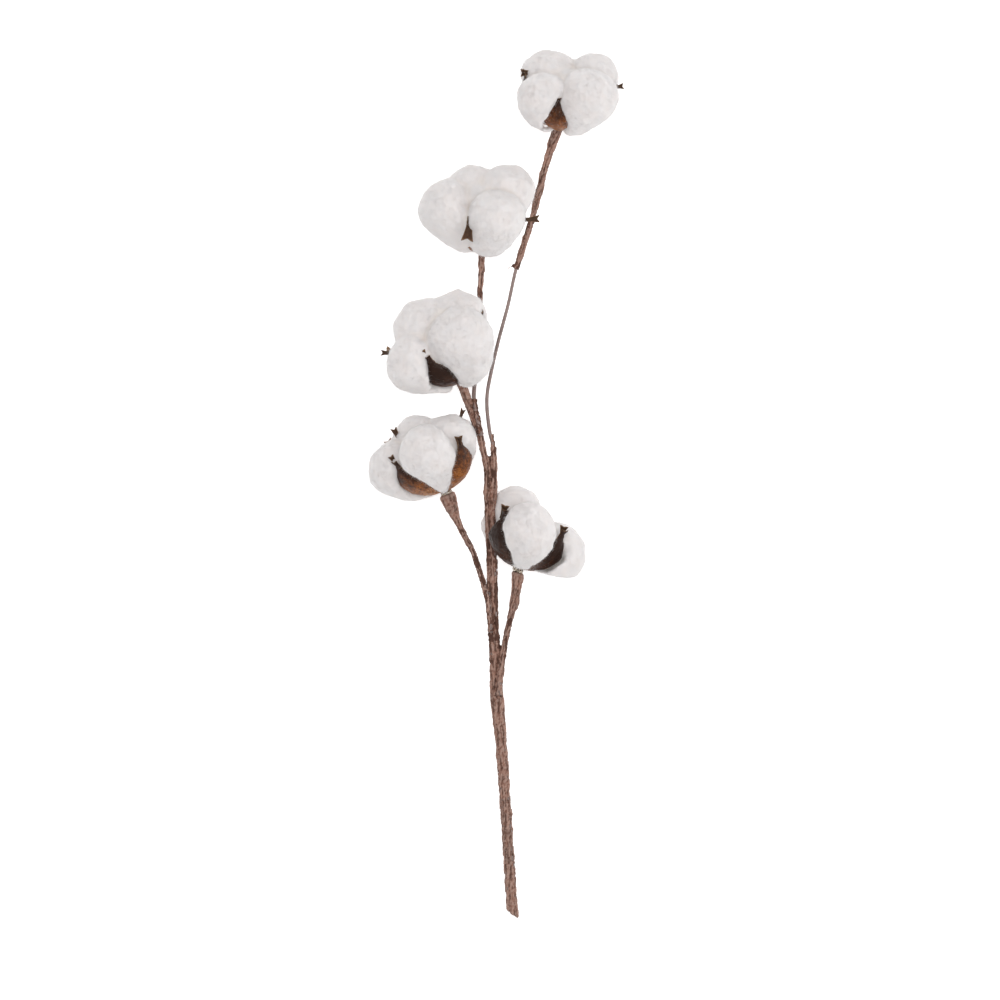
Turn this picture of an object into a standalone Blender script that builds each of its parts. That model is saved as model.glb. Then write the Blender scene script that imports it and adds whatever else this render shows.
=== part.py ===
"""Cotton stem: five open cotton bolls on wires bound with brown paper tape, lying on a surface.

Each boll is a dry brown bur (four valves grown together on a receptacle) holding four white locks
of lint. It is glued on the end of a wire. Two long wires run side by side to the cut end, three
short ones are bound to them, and paper tape is wound over the bundle and up to each boll.

Lengths below are millimetres. The stem lies along +Y, from its cut end to the top boll, +Z is up,
and the finished stem is centred on the origin and rests on z = 0.
"""

import math
import random

import bmesh
import bpy
from mathutils import Matrix, Vector

MM = 0.001
GAP = 0.3  # clearance between pieces that touch on the real stem

# Wires and tape
WIRE_RADIUS = 1.1
WIRE_SIDES = 6
TAPE_SIDES = 8
PAIR = 1.6  # each long wire runs this far to its side of the bundle's middle line
STEP = 13.0  # spacing of the rings along a wire
CUT_ANGLE = 38.0  # slant of the cut end
SOCKET_DEPTH = 3.2  # how far a wire reaches into its boll
GLUE_LENGTH = 2.0
GLUE_RADIUS = 3.4
CLEARANCE_RADIUS = 9.0

# Lint
LOCK_SIDES = 12
LOCK_RINGS = 8
LOCK_LUMPS = 0.04
CORE_SIZE = 0.72  # the lint that fills the middle, as a share of the locks' reach

# Bur
VALVE_THICKNESS = 1.3
VALVE_LENGTHWAYS = 8
VALVE_ACROSS = 4
VALVE_CUP = 0.32  # how deep a valve is dished, as a share of its half width
VALVE_FORK = 0.014  # depth of the notch in its beak, as a share of its length
VALVE_VARIES = 0.04  # how much valves differ in length and width
RECEPTACLE_RADIUS = 6.2
RECEPTACLE_HEIGHT = 3.6

# A valve seen from its side: height over the base, distance from the boll's axis, half width. It
# has a broad belly, a narrow neck and a beak that flares.
VALVE_SHAPE = [
    (0.8, 3.0, 3.4),
    (2.0, 9.8, 6.6),
    (6.8, 18.2, 10.0),
    (13.6, 23.4, 10.4),
    (19.6, 24.8, 7.0),
    (24.2, 24.6, 3.0),
    (27.4, 24.8, 2.0),
    (30.2, 26.4, 2.9),
]
VALVE_REACH = 38.0  # its length along the curve

# The middle line of the bound pair of long wires, from the cut end up: x, y, z, half width of its
# wrap. The wrap is oval, and each wire has a tape of its own above it.
BUNDLE = [
    (0.6, 0.0, 2.3, 3.5),
    (0.0, 8.0, 2.6, 3.4),
    (-2.0, 40.0, 5.0, 3.4),
    (-6.0, 100.0, 11.5, 3.5),
    (-8.6, 128.0, 15.0, 3.9),
    (-9.8, 152.0, 17.4, 3.5),
    (-11.2, 185.0, 18.2, 3.5),
    (-11.5, 212.0, 16.9, 3.4),
    (-11.8, 238.0, 18.2, 3.6),
]
WRAP_FLAT = 0.62  # height of the wrap over its width
WRAP_SIDES = 12
TAPED_APART_FROM = 7  # the row from which each long wire has its own tape

# Where each wire leaves the bundle, or starts on it: x, y, z, tape radius, or 0 where it is bare.
WIRES = {
    1: [
        (-10.4, 242.0, 18.4, 2.2),
        (-10.0, 262.0, 19.2, 2.3),
        (-10.8, 273.0, 18.6, 2.0),
        (-12.9, 282.0, 17.2, 0),
        (-14.4, 300.0, 14.6, 0),
        (-11.6, 317.0, 13.2, 0),
        (-7.6, 334.0, 12.4, 0),
        (-2.0, 355.0, 12.2, 0),
        (2.2, 374.0, 12.4, 1.9),
        (6.6, 388.0, 12.6, 2.4),
        (11.2, 402.0, 12.4, 2.1),
        (15.4, 418.0, 11.6, 2.7),
        (19.2, 434.0, 10.4, 2.4),
        (23.6, 448.0, 9.2, 3.4),
    ],
    2: [
        (-17.6, 279.0, 20.4, 1.8),
        (-20.2, 291.0, 17.6, 1.9),
        (-21.8, 300.0, 12.2, 1.8),
        (-21.4, 310.0, 6.6, 0),
        (-20.4, 321.0, 4.0, 0),
        (-19.6, 335.0, 4.4, 0),
        (-18.7, 350.0, 8.2, 2.0),
        (-18.3, 362.0, 10.8, 1.9),
        (-17.6, 374.0, 10.8, 2.2),
    ],
    3: [
        (-14.2, 242.0, 18.4, 2.2),
        (-14.6, 262.0, 19.0, 2.3),
        (-18.4, 279.0, 17.0, 2.5),
        (-24.2, 295.0, 13.4, 2.6),
        (-27.4, 306.0, 10.6, 3.1),
    ],
    4: [
        (-12.0, 166.0, 21.6, 1.8),
        (-13.8, 184.0, 22.8, 2.0),
        (-17.4, 198.0, 22.4, 2.0),
        (-22.2, 212.0, 20.8, 2.0),
        (-28.0, 223.0, 18.8, 2.4),
        (-32.2, 231.6, 17.0, 2.7),
        (-35.6, 240.0, 15.6, 3.8),
    ],
    5: [
        (-7.2, 130.0, 18.6, 1.8),
        (-6.0, 146.0, 20.2, 2.0),
        (-4.0, 160.0, 19.6, 2.1),
        (-1.2, 173.0, 17.6, 2.3),
        (1.2, 182.0, 15.8, 3.1),
        (2.9, 192.0, 13.6, 3.4),
    ],
}
LONG_WIRES = {1: 1, 3: -1}  # wire: the side of the bundle that it runs down

# Each boll: its base, the way its axis points, its valves and its locks. A valve is its direction
# round the axis, in degrees from the upper side, its size, and how far the lint outside it is
# pressed away. A lock is where its thickest part lies, from the base, and its radius there.
# Its fullness is the power of its swell from root to peak: the lower, the fuller the root.
BOLLS = {
    1: dict(
        base=(27.2, 456.2, 10.3),
        axis=(0.18, 0.885, 0.42),
        valves=[(-10, 0.87, 4.0), (86, 1.04, 7.0), (180, 0.8, 7.0), (-80, 1.06, 7.0)],
        fullness=0.46,
        locks=[
            (-10.2, 15.6, 24.0, 14.0),
            (17.0, 15.5, 23.0, 16.4),
            (20.2, 29.0, 5.0, 14.2),
            (-6.4, 29.2, 5.2, 15.6),
        ],
    ),
    2: dict(
        base=(-17.0, 387.6, 12.5),
        axis=(-0.02, 0.80, 0.60),
        valves=[(-22, 0.66, 0.0), (48, 0.9, 0.0), (152, 0.85, 0.0), (-118, 0.85, 0.0)],
        fullness=0.32,
        locks=[
            (8.2, 15.4, 28.0, 15.6),
            (15.6, 33.0, 11.0, 14.4),
            (-6.0, 32.0, 2.4, 15.2),
            (-20.2, 21.4, 13.5, 16.4),
        ],
    ),
    3: dict(
        base=(-29.9, 310.6, 10.6),
        axis=(-0.41, 0.86, 0.31),
        valves=[(-28, 0.95, 4.0), (80, 1.08, 7.0), (165, 0.7, 0.0), (-99, 1.18, 7.0)],
        fullness=0.42,
        locks=[
            (1.6, 22.0, 24.0, 19.0),
            (-1.0, 36.0, 6.8, 16.4),
            (-21.0, 30.4, 6.8, 17.0),
            (-27.0, 9.4, 18.6, 15.6),
        ],
    ),
    4: dict(
        base=(-38.2, 247.2, 15.7),
        axis=(-0.375, 0.915, 0.15),
        valves=[(-53, 0.99, 6.0), (51, 0.9, 6.0), (138, 1.16, 7.0), (-142, 1.18, 7.0)],
        fullness=0.5,
        locks=[
            (-10.6, 22.0, 26.0, 15.4),
            (3.0, 29.2, 2.0, 15.2),
            (-16.4, 30.6, -2.4, 13.6),
            (-28.4, 12.6, 1.2, 16.2),
        ],
    ),
    5: dict(
        base=(3.8, 202.8, 12.9),
        axis=(0.295, 0.945, 0.12),
        valves=[(-38, 1.05, 7.0), (43, 1.02, 4.5), (168, 0.8, 7.0), (-150, 0.74, 7.0)],
        fullness=0.44,
        locks=[
            (5.2, 20.8, 25.0, 16.6),
            (21.5, 8.4, 4.6, 17.4),
            (-1.6, 34.0, 0.2, 14.0),
            (-11.6, 25.0, -3.8, 10.0),
        ],
    ),
}


def clear_scene():
    for obj in list(bpy.data.objects):
        bpy.data.objects.remove(obj)


# ---- curves, tubes and Booleans ----


def catmull_rom(points, step):
    """Points on a smooth curve through the given rows, about step apart by their first three values."""
    rows = [Vector(p) for p in points]
    rows = [2 * rows[0] - rows[1], *rows, 2 * rows[-1] - rows[-2]]
    curve = []
    for a, b, c, d in zip(rows, rows[1:], rows[2:], rows[3:]):
        count = max(1, round((c.to_3d() - b.to_3d()).length / step))
        for n in range(count):
            t = n / count
            curve.append(
                0.5
                * (2 * b + (c - a) * t + (2 * a - 5 * b + 4 * c - d) * t**2 + (3 * b - a - 3 * c + d) * t**3)
            )
    curve.append(rows[-2])
    return curve


def mesh_object(name, verts, faces):
    """A mesh object from millimetre points, with its faces turned outwards."""
    mesh = bpy.data.meshes.new(name)
    mesh.from_pydata([tuple(v * MM for v in p) for p in verts], [], faces)
    work = bmesh.new()
    work.from_mesh(mesh)
    bmesh.ops.recalc_face_normals(work, faces=work.faces)
    work.to_mesh(mesh)
    work.free()
    obj = bpy.data.objects.new(name, mesh)
    bpy.context.scene.collection.objects.link(obj)
    return obj


def from_bmesh(name, work):
    """A mesh object from a bmesh in metres, which it frees."""
    mesh = bpy.data.meshes.new(name)
    work.to_mesh(mesh)
    work.free()
    obj = bpy.data.objects.new(name, mesh)
    bpy.context.scene.collection.objects.link(obj)
    return obj


def tube(name, centres, radii, sides, flat=1.0):
    """A closed tube through centres. flat squeezes its rings along Z."""
    verts, faces = [], []
    for i, (centre, radius) in enumerate(zip(centres, radii)):
        ahead = centres[min(i + 1, len(centres) - 1)] - centres[max(i - 1, 0)]
        side = ahead.cross(Vector((0, 0, 1))).normalized()
        up = side.cross(ahead).normalized()
        for n in range(sides):
            angle = math.tau * n / sides
            verts.append(centre + radius * (math.cos(angle) * side + flat * math.sin(angle) * up))
    for i in range(len(centres) - 1):
        for n in range(sides):
            a, b = i * sides + n, i * sides + (n + 1) % sides
            faces.append((a, b, b + sides, a + sides))
    faces.append(tuple(range(sides)))
    faces.append(tuple(range(len(verts) - sides, len(verts))))
    return mesh_object(name, verts, faces)


def boolean(obj, others, operation, solver="EXACT"):
    """Joins or cuts obj with the others, applies that and removes them."""
    helpers = bpy.data.collections.new("helpers")
    bpy.context.scene.collection.children.link(helpers)
    for other in others:
        helpers.objects.link(other)
    modifier = obj.modifiers.new(operation, "BOOLEAN")
    modifier.operation = operation
    modifier.operand_type = "COLLECTION"
    modifier.collection = helpers
    modifier.solver = solver
    bpy.context.view_layer.update()
    made = bpy.data.meshes.new_from_object(obj.evaluated_get(bpy.context.evaluated_depsgraph_get()))
    obj.modifiers.clear()
    obj.data = made
    for other in others:
        bpy.data.objects.remove(other)
    bpy.data.collections.remove(helpers)
    return obj


def keep_largest_body(obj):
    """Drops the loose scraps and sealed hollows that a cut leaves."""
    work = bmesh.new()
    work.from_mesh(obj.data)
    left, bodies = set(work.faces), []
    while left:
        body, edge = set(), [left.pop()]
        while edge:
            face = edge.pop()
            body.add(face)
            near = {other for e in face.edges for other in e.link_faces} & left
            left -= near
            edge.extend(near)
        bodies.append(body)
    bodies.sort(key=len)
    for body in bodies[:-1]:
        bmesh.ops.delete(work, geom=list(body), context="FACES")
    work.to_mesh(obj.data)
    work.free()


def finish(obj, material, smooth_angle=50):
    obj.data.materials.clear()
    obj.data.materials.append(material)
    obj.data.shade_smooth()
    obj.data.set_sharp_from_angle(angle=math.radians(smooth_angle))
    return obj


def material(name, colour, roughness, alpha=1.0):
    made = bpy.data.materials.new(name)
    made.use_nodes = True
    shader = made.node_tree.nodes["Principled BSDF"]
    shader.inputs["Base Color"].default_value = (*colour, 1)
    shader.inputs["Roughness"].default_value = roughness
    shader.inputs["Metallic"].default_value = 0.0
    shader.inputs["Alpha"].default_value = alpha
    return made


# ---- wires and tape ----


def boll_axis(boll):
    return Vector(boll["axis"]).normalized()


def wire_route(number):
    """Smooth rows (x, y, z, tape radius) of a wire, from its foot into its boll."""
    boll = BOLLS[number]
    base, axis = Vector(boll["base"]), boll_axis(boll)
    rows = list(WIRES[number])
    if number in LONG_WIRES:
        side = LONG_WIRES[number] * PAIR
        tape = [0] * TAPED_APART_FROM + [1.95] * (len(BUNDLE) - 1 - TAPED_APART_FROM)
        rows = [(x + side, y, z, tape) for (x, y, z, _), tape in zip(BUNDLE, tape)] + rows
    rows.append((*(base - axis), rows[-1][3] + 0.3))
    rows.append((*(base + axis * SOCKET_DEPTH), 0))
    return catmull_rom(rows, STEP)


def taped_runs(rows):
    """The stretches of a route that tape covers, as (centres, radii)."""
    runs, run = [], []
    for row in rows:
        if row[3] > WIRE_RADIUS + 2 * GAP:
            run.append(row)
        elif run:
            runs.append(run)
            run = []
    return [([r.to_3d() for r in run], [r[3] for r in run]) for run in runs if len(run) > 1]


def wire(number):
    rows = wire_route(number)
    if number in LONG_WIRES:
        rows = rows[1:]
    return tube(f"wire_{number}", [r.to_3d() for r in rows], [WIRE_RADIUS] * len(rows), WIRE_SIDES)


def wire_bore(number):
    rows = wire_route(number)
    if number in LONG_WIRES:
        rows = rows[1:]
    centres = [r.to_3d() for r in rows]
    centres[0] += (centres[0] - centres[1]).normalized() * GAP
    centres[-1] += (centres[-1] - centres[-2]).normalized() * GAP
    return tube("bore", centres, [WIRE_RADIUS + GAP] * len(centres), WIRE_SIDES)


def wrap(grow):
    """The oval tape round both long wires."""
    rows = catmull_rom(BUNDLE, STEP)
    flat = WRAP_FLAT + grow * 0.1
    return tube("wrap", [r.to_3d() for r in rows], [r[3] + grow for r in rows], WRAP_SIDES, flat)


def boll_clearance(number):
    """The room that a boll's glue and bur take, which ends the tape square to the boll."""
    boll = BOLLS[number]
    base, axis = Vector(boll["base"]), boll_axis(boll)
    centres = [base - axis * (GLUE_LENGTH + 2 * GAP), base + axis * 14.0]
    return tube("clearance", centres, [CLEARANCE_RADIUS] * 2, 12)


def oblique_cut():
    """What the pliers took off the cut end: everything beyond a slanting plane."""
    work = bmesh.new()
    bmesh.ops.create_cube(work, size=30 * MM)
    bmesh.ops.translate(work, verts=work.verts, vec=(0, -15 * MM, 0))
    bmesh.ops.rotate(work, verts=work.verts, matrix=Matrix.Rotation(math.radians(-CUT_ANGLE), 3, "Z"))
    x, y, z, width = BUNDLE[0]
    bmesh.ops.translate(work, verts=work.verts, vec=Vector((x + width, y + 0.2, z)) * MM)
    return from_bmesh("oblique_cut", work)


def tapes():
    """One tape binds the bundle and its branches. The bolls on a bare wire have a tape of their own."""
    bundle, own = [], {}
    for number in WIRES:
        for n, (centres, radii) in enumerate(taped_runs(wire_route(number))):
            piece = tube(f"tape_{number}", centres, radii, TAPE_SIDES)
            if n:
                own[number] = piece
            else:
                bundle.append(piece)
    bound = boolean(wrap(0), bundle, "UNION")
    bound.name = "tape_bundle"
    cutters = [wire_bore(number) for number in WIRES]
    cutters += [boll_clearance(number) for number in WIRES if number not in own]
    boolean(bound, [oblique_cut(), *cutters], "DIFFERENCE")
    for number, piece in own.items():
        boolean(piece, [wire_bore(number), boll_clearance(number)], "DIFFERENCE")
        piece.name = f"tape_{number}"
    return [bound, *own.values()]


# ---- bolls ----


def boll_frame(boll):
    """The boll's matrix: its Z runs up the axis, and its X faces the camera side as far as it can."""
    axis = boll_axis(boll)
    front = (Vector((0, 0, 1)) - axis * axis.z).normalized()
    frame = Matrix((front, axis.cross(front), axis)).transposed().to_4x4()
    frame.translation = Vector(boll["base"])
    return frame


def lock(boll, number, rng):
    """A tear of lint: pointed at its root on the base, fullest near its far end."""
    *peak, girth = boll["locks"][number]
    peak = Vector(peak)
    length = peak.length + girth
    turn = peak.length / length
    along = peak.normalized()
    side = along.orthogonal().normalized()
    up = along.cross(side)
    phases = [rng.uniform(0, math.tau) for _ in range(4)]
    base = Vector(boll["base"])
    verts, faces = [base + along * 1.0], []
    for i in range(1, LOCK_RINGS):
        t = i / LOCK_RINGS
        if t < turn:
            share = math.sin(math.pi / 2 * t / turn) ** boll["fullness"]
        else:
            share = math.sqrt(1 - ((t - turn) / (1 - turn)) ** 2)
        for n in range(LOCK_SIDES):
            angle = math.tau * n / LOCK_SIDES
            lump = math.sin(2 * angle + phases[0] + 3 * t) + math.sin(3 * angle + phases[1] - 5 * t)
            lump += math.sin(9 * t + phases[2]) * math.cos(angle + phases[3])
            radius = girth * share * (1 + LOCK_LUMPS * lump)
            verts.append(base + along * length * t + radius * (math.cos(angle) * side + math.sin(angle) * up))
    verts.append(base + along * length)
    for n in range(LOCK_SIDES):
        after = (n + 1) % LOCK_SIDES
        faces.append((0, 1 + after, 1 + n))
        for i in range(LOCK_RINGS - 2):
            a = 1 + i * LOCK_SIDES
            faces.append((a + n, a + after, a + LOCK_SIDES + after, a + LOCK_SIDES + n))
        a = 1 + (LOCK_RINGS - 2) * LOCK_SIDES
        faces.append((a + n, a + after, len(verts) - 1))
    return mesh_object("lock", verts, faces)


def core(boll):
    """The lint between the locks."""
    peaks = [Vector(lock_[:3]) for lock_ in boll["locks"]]
    middle = sum(peaks, Vector()) / len(peaks)
    reach = sum((p - middle).length for p in peaks) / len(peaks)
    work = bmesh.new()
    bmesh.ops.create_icosphere(work, subdivisions=2, radius=reach * CORE_SIZE * MM)
    bmesh.ops.translate(work, verts=work.verts, vec=(Vector(boll["base"]) + middle * 0.9) * MM)
    return from_bmesh("core", work)


def pressed_up(frame, points):
    """How far the surface bends this part of a valve up."""
    lowest = min((frame @ p).z for p in points) - VALVE_THICKNESS
    return Vector((0, 0, max(0.0, GAP - lowest)))


def valve(boll, number, rng, grow):
    """One valve of the bur, on the groove between two locks. grow fattens it into a cutter."""
    turn, size, press = boll["valves"][number]
    angle = math.radians(turn)
    longer = size * (1 + rng.uniform(-VALVE_VARIES, VALVE_VARIES))
    wider = size * (1 + rng.uniform(-VALVE_VARIES, VALVE_VARIES))
    frame = boll_frame(boll)
    outline = [(height * longer, reach * longer, width * wider) for height, reach, width in VALVE_SHAPE]
    rows = catmull_rom(outline, VALVE_REACH * longer / VALVE_LENGTHWAYS)
    out = Vector((math.cos(angle), math.sin(angle), 0))
    across = Vector((-math.sin(angle), math.cos(angle), 0))
    axis = Vector((0, 0, 1))
    skins = ([], [])
    for i, row in enumerate(rows):
        before, after = rows[max(i - 1, 0)], rows[min(i + 1, len(rows) - 1)]
        ahead = (after - before).to_2d().normalized()  # (height, distance)
        normal = out * ahead.x - axis * ahead.y
        along = axis * ahead.x + out * ahead.y
        share = i / (len(rows) - 1)
        fork = VALVE_FORK * VALVE_REACH * longer * max(0.0, share - 0.8) / 0.2
        places = [2 * j / VALVE_ACROSS - 1 for j in range(VALVE_ACROSS + 1)]
        middles = [out * row.y + axis * row.x + along * fork * (abs(u) * 2 - 1) for u in places]
        lift = pressed_up(frame, [m + across * u * row.z for m, u in zip(middles, places)])
        if i == len(rows) - 1:
            lift += frame.to_3x3() @ along * 2 * grow
        width = row.z + grow
        for u, middle in zip(places, middles):
            middle = frame @ (middle + across * u * width - normal * VALVE_CUP * width * u * u) + lift
            half = (VALVE_THICKNESS / 2) * (1 - 0.35 * abs(u) ** 3) * (1 - 0.3 * share) + grow
            cleared = press * min(1.0, 2 * share) if grow else 0
            thick = frame.to_3x3() @ normal
            skins[0].append(middle + thick * (half + cleared))
            skins[1].append(middle - thick * half)
    return mesh_object("valve", *shell(skins, len(rows), VALVE_ACROSS + 1))


def shell(skins, rows, columns):
    """Points and faces of a closed shell between two grids of the same size."""
    verts = skins[0] + skins[1]
    far = len(skins[0])
    faces = []
    for i in range(rows - 1):
        for j in range(columns - 1):
            a = i * columns + j
            quad = (a, a + 1, a + columns + 1, a + columns)
            faces.append(quad)
            faces.append(tuple(far + q for q in reversed(quad)))
    rim = [j for j in range(columns)]
    rim += [i * columns + columns - 1 for i in range(1, rows)]
    rim += [(rows - 1) * columns + j for j in range(columns - 2, -1, -1)]
    rim += [i * columns for i in range(rows - 2, 0, -1)]
    for a, b in zip(rim, rim[1:] + rim[:1]):
        faces.append((a, b, far + b, far + a))
    return verts, faces


def receptacle(boll, grow):
    """The woody disc that the valves grow from: a low cone round the axis."""
    frame = boll_frame(boll)
    profile = [
        (0.0, RECEPTACLE_RADIUS * 0.58),
        (0.9, RECEPTACLE_RADIUS * 0.86),
        (2.2, RECEPTACLE_RADIUS),
        (RECEPTACLE_HEIGHT, RECEPTACLE_RADIUS * 0.8),
    ]
    centres = [frame @ Vector((0, 0, h)) for h, _ in profile]
    axis = boll_axis(boll)
    centres[0] -= axis * grow
    centres[-1] += axis * grow
    return tube("receptacle", centres, [r + grow for _, r in profile], 12)


def bur_pieces(number, grow):
    boll = BOLLS[number]
    rng = random.Random(10 + number)
    valves = [valve(boll, n, rng, grow) for n in range(len(boll["valves"]))]
    return [receptacle(boll, grow), *valves]


def bur(number):
    pieces = bur_pieces(number, 0)
    made = boolean(pieces[0], pieces[1:], "UNION", "MANIFOLD")
    made.name = f"bur_{number}"
    return boolean(made, [wire_bore(number)], "DIFFERENCE", "MANIFOLD")


def stem_cutters():
    """The tape and wires with their clearance, which press a groove into lint that lies on them."""
    cutters = [wrap(2 * GAP)]
    for number in WIRES:
        rows = wire_route(number)[:-1]
        radii = [max(r[3], WIRE_RADIUS) + 2 * GAP for r in rows]
        cutters.append(tube("cutter", [r.to_3d() for r in rows], radii, TAPE_SIDES))
    return cutters


def ground():
    """What lies under the surface, to flatten the lint that rests on it."""
    work = bmesh.new()
    bmesh.ops.create_cube(work, size=1.0)
    bmesh.ops.scale(work, vec=(1.0, 1.4, 0.1), verts=work.verts)
    bmesh.ops.translate(work, vec=(0, 0.25, -0.05), verts=work.verts)
    return from_bmesh("ground", work)


def lint(number):
    boll = BOLLS[number]
    rng = random.Random(30 + number)
    locks = [lock(boll, n, rng) for n in range(len(boll["locks"]))]
    made = boolean(locks[0], [*locks[1:], core(boll)], "UNION", "MANIFOLD")
    made.name = f"lint_{number}"
    cutters = [*bur_pieces(number, 2 * GAP), *stem_cutters(), ground()]
    boolean(made, cutters, "DIFFERENCE", "MANIFOLD")
    keep_largest_body(made)
    return made


def glue(number):
    """The bead of hot glue between the end of the tape and the bur, round the wire."""
    boll = BOLLS[number]
    frame = boll_frame(boll)
    shares = [(0.0, 0.72), (0.3, 0.95), (0.65, 1.0), (1.0, 0.8)]
    centres = [frame @ Vector((0, 0, -GAP - GLUE_LENGTH * (1 - t))) for t, _ in shares]
    bead = tube(f"glue_{number}", centres, [GLUE_RADIUS * s for _, s in shares], 10)
    return boolean(bead, [wire_bore(number)], "DIFFERENCE")


def centre_on_origin(objects):
    """Moves the stem so that its box is centred on the origin in X and Y. Z stays as it is."""
    bpy.context.view_layer.update()
    corners = [obj.matrix_world @ Vector(c) for obj in objects for c in obj.bound_box]
    for i in (0, 1):
        middle = (min(c[i] for c in corners) + max(c[i] for c in corners)) / 2
        for obj in objects:
            obj.location[i] -= middle


def main():
    clear_scene()
    white = material("lint", (0.86, 0.84, 0.82), 0.95)
    brown = material("bur", (0.09, 0.045, 0.025), 0.45)
    paper = material("paper_tape", (0.26, 0.14, 0.10), 0.8)
    coat = material("wire_coat", (0.20, 0.14, 0.12), 0.6)
    clear = material("hot_glue", (0.85, 0.78, 0.66), 0.15, alpha=0.5)
    made = [finish(piece, paper) for piece in tapes()]
    for number in BOLLS:
        made.append(finish(wire(number), coat))
        made.append(finish(bur(number), brown))
        made.append(finish(lint(number), white, 80))
        made.append(finish(glue(number), clear))
    centre_on_origin(made)


main()
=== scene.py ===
import math

import bmesh
import bpy
import numpy as np
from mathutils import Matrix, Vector, noise
from mathutils.bvhtree import BVHTree

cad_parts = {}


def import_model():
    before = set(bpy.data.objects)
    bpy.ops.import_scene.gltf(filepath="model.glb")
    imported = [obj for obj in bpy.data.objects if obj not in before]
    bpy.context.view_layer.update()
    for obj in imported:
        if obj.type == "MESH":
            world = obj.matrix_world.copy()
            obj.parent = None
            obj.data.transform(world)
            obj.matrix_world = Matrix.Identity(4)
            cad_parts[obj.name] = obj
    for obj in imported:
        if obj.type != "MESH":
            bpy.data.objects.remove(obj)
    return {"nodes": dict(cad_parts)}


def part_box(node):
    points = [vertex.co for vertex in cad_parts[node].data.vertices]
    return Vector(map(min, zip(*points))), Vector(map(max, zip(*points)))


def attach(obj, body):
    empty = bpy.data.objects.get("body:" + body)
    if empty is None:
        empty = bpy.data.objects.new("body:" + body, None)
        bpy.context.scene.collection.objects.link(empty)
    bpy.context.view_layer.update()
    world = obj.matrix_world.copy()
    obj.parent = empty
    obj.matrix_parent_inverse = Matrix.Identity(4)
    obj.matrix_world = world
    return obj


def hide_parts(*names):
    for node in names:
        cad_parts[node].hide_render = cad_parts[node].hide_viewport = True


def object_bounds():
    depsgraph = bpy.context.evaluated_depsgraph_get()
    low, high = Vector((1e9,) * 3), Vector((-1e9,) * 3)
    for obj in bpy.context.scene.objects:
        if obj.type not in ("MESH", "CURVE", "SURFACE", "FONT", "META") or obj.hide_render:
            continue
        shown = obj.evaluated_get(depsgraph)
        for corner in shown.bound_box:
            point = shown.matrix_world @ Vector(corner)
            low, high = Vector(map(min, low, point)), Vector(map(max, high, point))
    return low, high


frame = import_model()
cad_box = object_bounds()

MM = 0.001
BOLLS = (1, 2, 3, 4, 5)
NOISE_SEED = 1  # without it, noise_vector starts from the clock

# Camera: straight above the stem, with the view's middle a little off the stem's own middle
LENS_MM = 200.0
SENSOR_MM = 36.0
VIEW_WIDTH = 0.572
VIEW_SHIFT = Vector((0.0032, -0.0084, 0.0))
FOCUS_HEIGHT = 0.028

# Lights: name, place, side, watts
LIGHTS = (
    ("key", Vector((-0.2, 0.35, 1.6)), 1.2, 12),
    ("fill", Vector((0.8, -0.1, 1.3)), 1.4, 9.5),
)
SKY_STRENGTH = 0.45
FLOOR_GLOW = 0.62
FLOOR_HALF = 3.0
FLOOR_DROP = 0.0002

# Lint. Its relief: size and height in mm and seed step of each layer of tufts
LINT_VOXEL = 0.0018
LINT_ROUNDING = 12
LINT_SWELL = 0.0010
TUFTS = ((8, 0.4, 0), (2.4, 0.14, 9))
# Spread and depth of the crease mask that sets the warm painted shade in the lint's creases
CREASE_PASSES = 16
CREASE_DEPTH = 0.5 * MM

# Hairs on the lint: how many, radius, shortest and longest, how steeply they rise
HAIRS = (
    (14500, 0.045 * MM, 1.0 * MM, 3.4 * MM, 1.4),
    (2000, 0.055 * MM, 2.5 * MM, 4.2 * MM, 0.9),
)
HAIR_FLOW = 6 * MM  # the size of a patch where hairs run alike
HAIR_TANGLE = 0.8  # how far each one turns from that
HAIR_LYING = 2.2  # higher lays more of them flat
HAIR_SUNK = 0.1
HAIR_CLEARANCE = 0.05 * MM

# By boll: how thick the lint over a valve may be for the valve to press it in, how far the husk
# swells, and how far up its axis the lint is drawn from its point
PRESSED = {1: 1.5 * MM, 3: 2.6 * MM, 4: 5.5 * MM, 5: 2.6 * MM}
HUSK_SWELL = {1: 0.0, 2: 0.0, 3: 0.6 * MM, 4: 1.3 * MM, 5: 0.6 * MM}
BLUNTED = {4: 2.0 * MM, 5: 5.5 * MM}
BLUNTING = 0.75
PRESS_DEPTH = 0.4 * MM
PRESS_SPREAD = 0.70
PRESS_PASSES = 6
PRESS_MOST = 0.5  # of the way to the axis
OUTWARD = 0.2  # least cosine of a face that counts as the outside of a valve

# Burs: the swell's start and width, distances from the axis; height of the wrinkles and pits in mm
BUR_VOXEL = 0.00053
BUR_ROUNDING = 4
BUR_SWELL_FROM, BUR_SWELL_OVER = 7 * MM, 6 * MM
WRINKLE_SIZE, WRINKLE_HEIGHT = 2.6 * MM, 0.22
PIT_SIZE, PIT_HEIGHT = 0.9 * MM, 0.08
BUR_REACH = 32 * MM  # a bur darkens over this height
DARK_BURS = (3, 5)
DARKER_BY = 0.42

# Tape: a slower shrink from this y up, relief in mm, and the thickening below two bolls
TAPE_VOXEL = 0.00062
TAPE_ROUNDING = 6
TAPE_PITCH = 0.017
TAPE_SLIMMED = 0.46
SLIM_FROM, SLIM_OVER = 0.118, 0.020
FOLD_HEIGHT, SWELL_HEIGHT, STEP_HEIGHT, CRINKLE_HEIGHT = 0.38, 0.30, 0.28, 0.24
# How deep a hollow in the tape must be for its painted shade to be full, and how high a ridge for its
# painted highlight
PIT_DEPTH = 0.16 * MM
TAPED_TO_BUR = (1, 2, 3)
TAPE_FLARES = {4: (1.2, 21.0), 5: (0.7, 13.0)}  # how much thicker, over what length, in mm
FLARE_STEEPNESS = 1.3

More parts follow.
